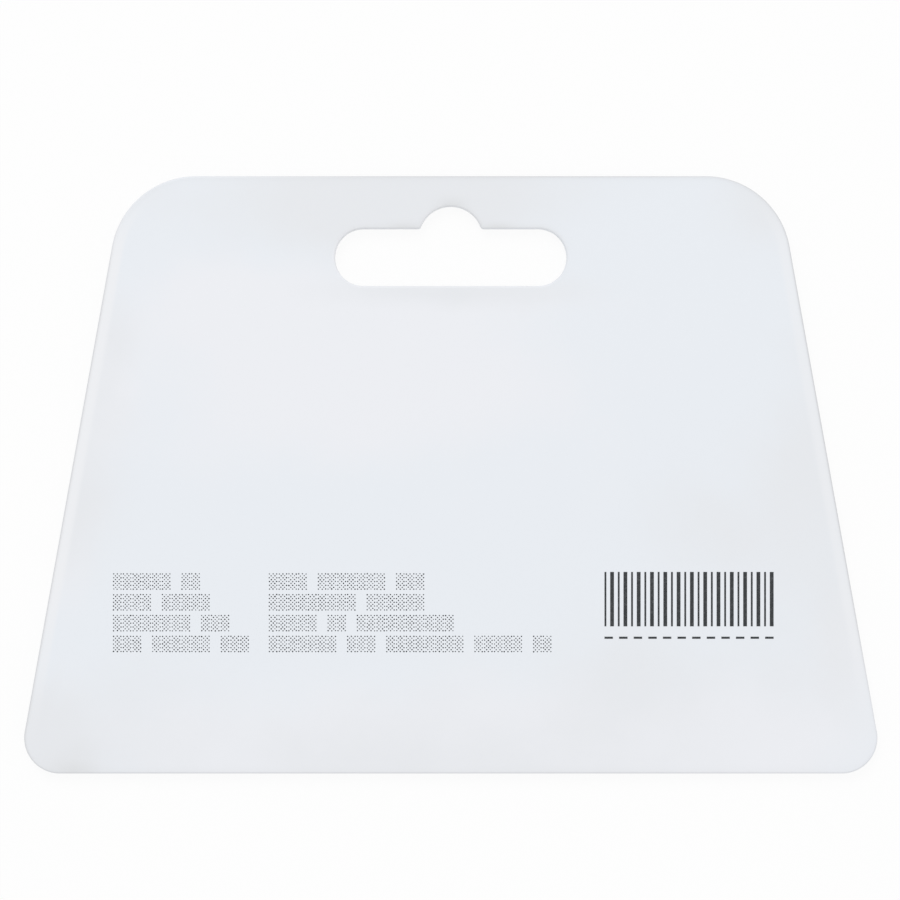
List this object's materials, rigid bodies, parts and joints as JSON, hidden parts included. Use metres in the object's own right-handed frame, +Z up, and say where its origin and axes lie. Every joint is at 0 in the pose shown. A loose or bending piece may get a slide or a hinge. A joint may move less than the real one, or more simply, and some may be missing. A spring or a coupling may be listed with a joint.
{
  "type": "dough scraper",
  "caption": "Flat tapered plastic dough scraper with round corners, softened edges and a hanging slot; portions and lifts dough and scrapes bowls and benches.",
  "frame": {"origin": "on the back face, in the middle of the plate's box", "axes": "+X along the working edge, +Y from the working edge towards the hanging slot, +Z up out of the front face as the plate lies on its back face"},
  "size_m": [0.12, 0.084, 0.002],
  "materials": {
    "white_polyethylene": "satin milky white with a faint cold tint"
  },
  "bodies": {
    "root": {"blade": "white_polyethylene"}
  },
  "joints": []
}
